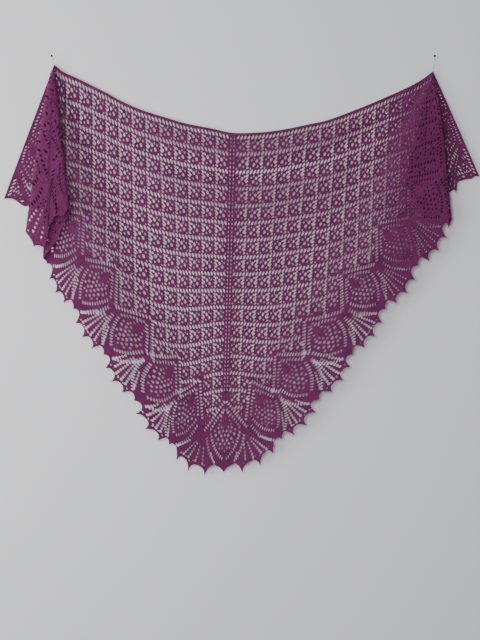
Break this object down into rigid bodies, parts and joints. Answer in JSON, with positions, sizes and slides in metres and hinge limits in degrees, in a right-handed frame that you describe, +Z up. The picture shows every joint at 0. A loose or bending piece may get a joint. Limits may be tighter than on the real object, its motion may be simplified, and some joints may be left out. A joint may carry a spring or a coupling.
{
  "type": "lace shawl hung on two pins",
  "caption": "Hand-knitted triangular lace shawl with a scalloped leaf border, hung on a wall by two ball-headed pins through its top edge, its ends falling in folds outside the pins.",
  "frame": {"origin": "on the wall plane, midway between the two pin holes that hold the top edge", "axes": "+X to the right as seen from the front, +Y into the wall, +Z up"},
  "size_m": [1.3068, 0.0595, 1.1638],
  "materials": {
    "yarn": "matt",
    "yarn_edge": "matt",
    "pin_steel": "polished",
    "pin_ball": "gloss"
  },
  "bodies": {
    "root": {"top_band": "yarn_edge", "spine": "yarn_edge", "ground_left": "yarn", "ground_right": "yarn", "border_left": "yarn", "border_centre": "yarn", "border_right": "yarn", "wing_left": "yarn", "wing_right": "yarn", "wing_left_band": "yarn_edge", "wing_right_band": "yarn_edge", "gather_left": "yarn", "gather_right": "yarn", "pin_shaft_left": "pin_steel", "pin_shaft_right": "pin_steel", "pin_head_left": "pin_ball", "pin_head_right": "pin_ball"}
  },
  "joints": []
}
